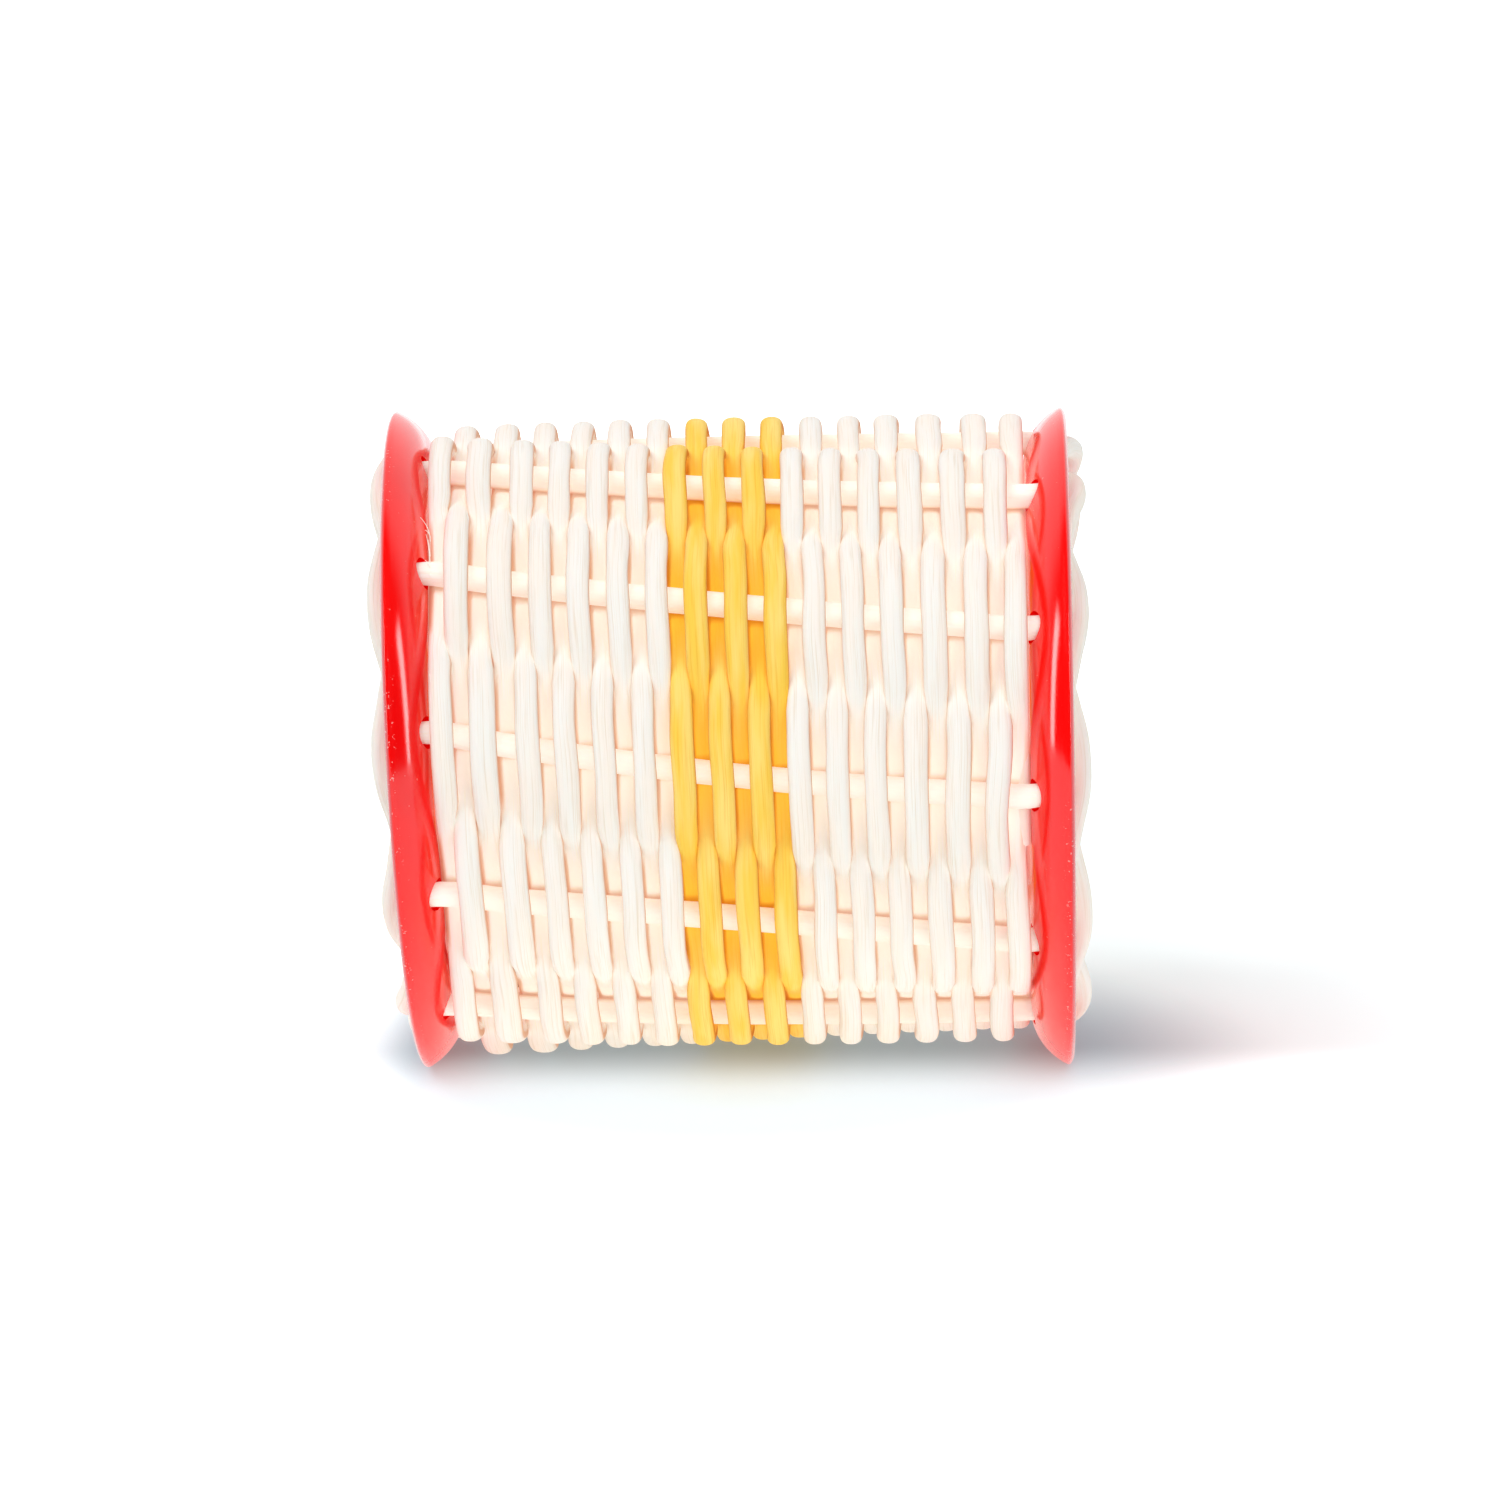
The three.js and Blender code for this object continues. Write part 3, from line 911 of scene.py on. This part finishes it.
def capShape():
    turns = [shoulderTurn * step / cap["shoulderSteps"] for step in range(cap["shoulderSteps"] + 1)]
    outside = [shoulderArc(ganza["shoulderRadius"], turn) for turn in turns]
    inside = [shoulderArc(dishRadius, turn) for turn in reversed(turns)]
    shares = [step / cap["lipSegments"] for step in range(1, cap["lipSegments"])]
    lip = [lipPoint(outside[-1], inside[0], share) for share in shares]
    rings = [share / cap["flatRings"] for share in range(cap["flatRings"])]
    face = [Vector((capFlatRadius * share, 0, 0)) for share in rings]
    floor = [Vector((capFlatRadius * share, 0, ganza["capWall"])) for share in reversed(rings)]
    shape = bmesh.new()
    line = [shape.verts.new(point) for point in face + outside + lip + inside + floor]
    for start, end in zip(line, line[1:]):
        shape.edges.new((start, end))
    bmesh.ops.spin(
        shape, geom=shape.verts[:] + shape.edges[:], cent=(0, 0, 0), axis=(0, 0, 1),
        angle=2 * math.pi, steps=cap["spinSteps"], use_merge=True,
    )
    bmesh.ops.remove_doubles(shape, verts=shape.verts, dist=cap["merge"])
    bmesh.ops.recalc_face_normals(shape, faces=shape.faces)
    return shape


def drillShape(axial):
    shape = bmesh.new()
    for stake in range(stakeCount):
        spot = spotAt(axial, stakeAngle(axial, stake), stakeCircle)
        bmesh.ops.create_cone(
            shape, cap_ends=True, segments=cap["holeSides"], depth=cap["drillDepth"],
            radius1=cap["holeRadius"], radius2=cap["holeRadius"],
            matrix=Matrix.Translation(spot) @ Matrix.Rotation(math.pi / 2, 4, "Y"),
        )
    return shape


def drilled(dish, drill):
    cut = dish.modifiers.new("holes", "BOOLEAN")
    cut.operation = "DIFFERENCE"
    cut.solver = "EXACT"
    cut.object = drill
    bpy.context.view_layer.update()
    ready = dish.evaluated_get(bpy.context.evaluated_depsgraph_get())
    shape = bmesh.new()
    shape.from_mesh(ready.to_mesh())
    for spare in (dish, drill):
        bpy.data.objects.remove(spare)
    return shape


def addCap(node, outwards, axial):
    dish = capShape()
    upright = Matrix.Rotation(outwards * math.pi / 2, 4, "Y")
    bmesh.ops.transform(dish, matrix=upright, verts=dish.verts)
    shape = drilled(meshObject("dish", dish), meshObject("drill", drillShape(axial)))
    edge = shape.verts.layers.float.new("edge")
    for vert in shape.verts:
        vert[edge] = clamp(1 - (ganza["capDepth"] - abs(vert.co.x)) / cap["wornEdge"])
    lean = Matrix.Rotation(-leanAt(axial), 4, "Y")
    bmesh.ops.transform(shape, matrix=Matrix.Translation(axisAt(axial)) @ lean, verts=shape.verts)
    for face in shape.faces:
        face.smooth = True
    piece = addPiece(node + "_dish", shape, "red_plastic", "shell", node)
    piece.data.set_sharp_from_angle(angle=cap["sharpAngle"])


addCap("left_cap", -1, 0)
addCap("right_cap", 1, bodyLength)
print("caps spun and drilled")

# Seeds: dry ovals with a seam and a small eye, loose inside
seedKernel = {
    "segments": 24,
    "rings": 14,
    "size": 0.97,  # share of the frame's seed
    "seamDepth": 0.05,
    "seamWidth": 0.09,
    "eyeDepth": 0.14,
    "eyeWidth": 0.3,
    "seed": 11,
}


def kernelShape(middle, half, turn):
    shape = bmesh.new()
    bmesh.ops.create_uvsphere(
        shape, u_segments=seedKernel["segments"], v_segments=seedKernel["rings"], radius=1,
    )
    pole = Vector((0, 0, 1))
    for vert in shape.verts:
        seamAndPaintedShade = math.exp(-((vert.co.y / seedKernel["seamWidth"]) ** 2))
        eye = math.exp(-(((vert.co - pole).length / seedKernel["eyeWidth"]) ** 2))
        dents = (1 - seedKernel["seamDepth"] * seamAndPaintedShade) * (1 - seedKernel["eyeDepth"] * eye)
        vert.co *= dents * seedKernel["size"]
    bmesh.ops.transform(shape, matrix=Matrix.Rotation(math.pi / 2, 4, "Y"), verts=shape.verts)
    bmesh.ops.transform(shape, matrix=Matrix.Rotation(turn, 4, "X"), verts=shape.verts)
    bmesh.ops.transform(shape, matrix=Matrix.Diagonal((*half, 1)), verts=shape.verts)
    bmesh.ops.transform(shape, matrix=Matrix.Translation(middle), verts=shape.verts)
    for face in shape.faces:
        face.smooth = True
    return shape


draw = random.Random(seedKernel["seed"])
seedNodes = sorted(node for node in frame["nodes"] if node.startswith("seed_"))
for node in seedNodes:
    low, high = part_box(node)
    shape = kernelShape((low + high) / 2, (high - low) / 2, draw.uniform(0, 2 * math.pi))
    addPiece(node + "_kernel", shape, "dried_seed", node, node)
print("seeds made:", len(seedNodes))

# Studio: a white floor, soft light from the upper left and the photograph's camera
studio = {
    "floorSize": 6.0,
    "floorColour": (0.84, 0.91, 0.92, 1),
    "floorRoughness": 0.9,
    "floorShade": (0.26, 0.36, 0.43, 1),  # as the camera sees it near the ganza, whose glow is warm
    "shadeReach": (0.042, 0.08),
    "floorGlow": 0.15,  # near the ganza
    "farGlow": 0.43,
    "farReach": (0.05, 0.35),
    "leftGlow": 0.58,  # beside the caps, where the light comes from and where it goes to
    "leftReach": (-0.053, -0.042),
    "rightGlow": 0.06,
    "rightReach": (0.05, 0.075),
    "frontGlow": 0.54,
    "frontReach": (-0.008, 0.022),
    "floorMirror": 0.3,
    "floorBounce": 0.42,  # light that the paper gives back to the underside
    "bounceReach": (0.05, 0.14),
    "bounceColour": (1.0, 0.95, 0.88, 1),
    "skyLow": 0.18,
    "skyHigh": 0.63,
    "skyRise": (0, 0.9),  # how far up a unit direction points, as the other rises
    "skyBack": 0.35,  # more light from behind
    "backRise": (-0.1, 0.3),
    "mirrorFront": 0.03,  # what the caps mirror: dark in front, two tall panels and a bright back
    "mirrorBack": 2.1,
    "frontSpan": (-0.35, 0.08),  # how far to the front it points, where the back gives way
    "mirrorHigh": 0.95,
    "mirrorRise": (-0.12, 0.12),
    "mirrorPanel": 9,
    "panelBack": (0.03, 0.07),  # directions over which a panel's four sides fade
    "panelFront": (0.15, 0.22),
    "panelFoot": (-0.14, -0.06),
    "panelTop": (0.45, 0.55),
    "keyPower": 1.1,
    "keySpread": math.radians(35),
    "keyPlace": Vector((-0.45, -0.4, 0.8)),
    "fillPower": 6.7,
    "fillSize": 0.9,
    "fillPlace": Vector((0.6, -1.4, 0.75)),
    "cameraElevation": math.radians(10.8),
    "cameraTurn": math.radians(1.3),  # to the right
    "cameraRoll": math.radians(-0.55),
    "cameraDistance": 1.14,
    "cameraClip": 0.01,
    "fieldWidth": 205.8 * mm,  # how wide the photograph is at the ganza's middle
    "sensorWidth": 36,
    "photoSize": 1500,
    "photoMiddle": (733.3, 737.3),  # where the ganza's middle is in the photograph, in pixels
}


def addFloor():
    shape = bmesh.new()
    bmesh.ops.create_grid(shape, x_segments=1, y_segments=1, size=studio["floorSize"] / 2)
    floor = meshObject("floor", shape)
    finish = Finish("floorPaper")
    here = finish.coordinates("Object")
    across = finish.axis(here, "X")
    ahead = 0 - finish.axis(here, "Y")
    away = finish.node("ShaderNodeVectorMath", {"operation": "LENGTH"}, {0: here}, "Value")
    seen = finish.ray("Camera")
    shade = seen * (1 - away.ramp(*studio["shadeReach"]))
    base = finish.blend(shade, studio["floorColour"], studio["floorShade"])
    finish.set(Base_Color=base, Roughness=studio["floorRoughness"], Specular_IOR_Level=0.0)
    glow = studio["floorGlow"] + away.ramp(*studio["farReach"]) * studio["farGlow"]
    glow = glow + (1 - across.ramp(*studio["leftReach"])) * studio["leftGlow"]
    glow = glow + across.ramp(*studio["rightReach"]) * studio["rightGlow"]
    glow = glow + ahead.ramp(*studio["frontReach"]) * studio["frontGlow"]
    glow = seen * glow + finish.ray("Glossy") * studio["floorMirror"]
    bounce = finish.ray("Diffuse") * studio["floorBounce"]
    bounce = bounce * (1 - away.ramp(*studio["bounceReach"]))
    glow = finish.blend(bounce, glow, studio["bounceColour"])
    finish.set(Emission_Color=glow, Emission_Strength=1.0)
    finish.material.cycles.emission_sampling = "NONE"
    floor.data.materials.append(finish.material)


def addWorld():
    world = bpy.data.worlds.new("studioWorld")
    world.use_nodes = True
    bpy.context.scene.world = world
    sky = Nodes(world.node_tree)
    toward = sky.coordinates("Generated")
    ahead = 0 - sky.axis(toward, "Y")
    high = sky.axis(toward, "Z")
    behind = 1 - ahead.ramp(*studio["frontSpan"])
    panel = ahead.ramp(*studio["panelBack"]) * (1 - ahead.ramp(*studio["panelFront"]))
    panel = panel * high.ramp(*studio["panelFoot"]) * (1 - high.ramp(*studio["panelTop"]))
    back = lerp(studio["mirrorBack"], studio["mirrorHigh"], high.ramp(*studio["mirrorRise"]))
    mirror = studio["mirrorFront"] + behind * back + panel * studio["mirrorPanel"]
    light = lerp(studio["skyLow"], studio["skyHigh"], high.ramp(*studio["skyRise"]))
    light = light + behind * high.ramp(*studio["backRise"]) * studio["skyBack"]
    seen = sky.ray("Camera") + sky.ray("Transmission")
    glossy = sky.ray("Glossy")
    level = light + seen * (1 - light) + glossy * (mirror - light)
    sky.join(level, sky.tree.nodes["Background"].inputs["Strength"])
    sky.join((1, 1, 1, 1), sky.tree.nodes["Background"].inputs["Color"])


def addLamp(name, kind, spot, power):
    lamp = bpy.data.lights.new(name, kind)
    lamp.energy = power
    made = bpy.data.objects.new(name, lamp)
    bpy.context.scene.collection.objects.link(made)
    aim = Vector((0, 0, ganza["capRadius"])) - spot
    made.matrix_world = Matrix.Translation(spot) @ aim.to_track_quat("-Z", "Y").to_matrix().to_4x4()
    made.visible_glossy = False
    return lamp


def addCamera():
    lens = bpy.data.cameras.new("camera")
    lens.sensor_width = studio["sensorWidth"]
    lens.lens = studio["sensorWidth"] * studio["cameraDistance"] / studio["fieldWidth"]
    lens.clip_start = studio["cameraClip"]
    camera = bpy.data.objects.new("camera", lens)
    bpy.context.scene.collection.objects.link(camera)
    turned = Matrix.Rotation(studio["cameraTurn"], 3, "Z")
    turned = turned @ Matrix.Rotation(-studio["cameraElevation"], 3, "X")
    right = turned @ Vector((1, 0, 0))
    back = turned @ Vector((0, -1, 0))
    up = turned @ Vector((0, 0, 1))
    pixel = studio["fieldWidth"] / studio["photoSize"]
    offRight = (studio["photoSize"] / 2 - studio["photoMiddle"][0]) * pixel
    offUp = (studio["photoMiddle"][1] - studio["photoSize"] / 2) * pixel
    aim = Vector((0, 0, (cadBox[0].z + cadBox[1].z) / 2)) + right * offRight + up * offUp
    spot = aim + back * studio["cameraDistance"]
    facing = (aim - spot).to_track_quat("-Z", "Y").to_matrix()
    facing = facing @ Matrix.Rotation(studio["cameraRoll"], 3, "Z")
    camera.matrix_world = Matrix.Translation(spot) @ facing.to_4x4()
    bpy.context.scene.camera = camera


addFloor()
addWorld()
addLamp("keyLamp", "SUN", studio["keyPlace"], studio["keyPower"]).angle = studio["keySpread"]
addLamp("fillLamp", "AREA", studio["fillPlace"], studio["fillPower"]).size = studio["fillSize"]
addCamera()
bpy.context.scene.view_settings.view_transform = "Standard"
print("studio set")
